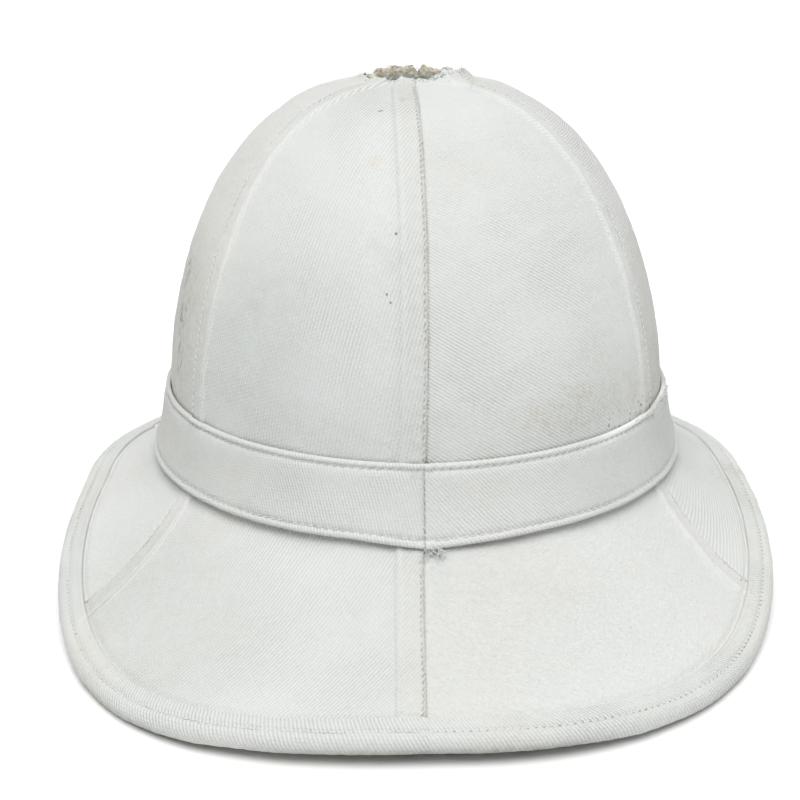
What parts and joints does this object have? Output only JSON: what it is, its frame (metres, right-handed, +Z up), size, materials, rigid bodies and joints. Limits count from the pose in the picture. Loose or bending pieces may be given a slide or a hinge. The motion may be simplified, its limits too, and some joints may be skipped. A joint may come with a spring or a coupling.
{
  "type": "pith helmet",
  "caption": "White cotton-covered cork sun helmet with a tall domed crown, a plain hatband, a sloping brim longer at the rear, a bound edge and a torn hole at the top.",
  "frame": {"origin": "bottom centre of the bounding box, on the plane that the brim rests on", "axes": "+Z up, +Y the way the wearer faces, +X the wearer's right; the long rear brim reaches towards -Y"},
  "size_m": [0.2676, 0.3602, 0.178],
  "materials": {
    "cotton_drill": "matte white cotton twill, lightly soiled",
    "cork": "matte moulded cork"
  },
  "bodies": {
    "root": {"shell": "cork", "gore_rear_left": "cotton_drill", "gore_rear_right": "cotton_drill", "gore_side_left": "cotton_drill", "gore_side_right": "cotton_drill", "gore_front_left": "cotton_drill", "gore_front_right": "cotton_drill", "hatband": "cotton_drill", "brim_binding": "cotton_drill"}
  },
  "joints": []
}
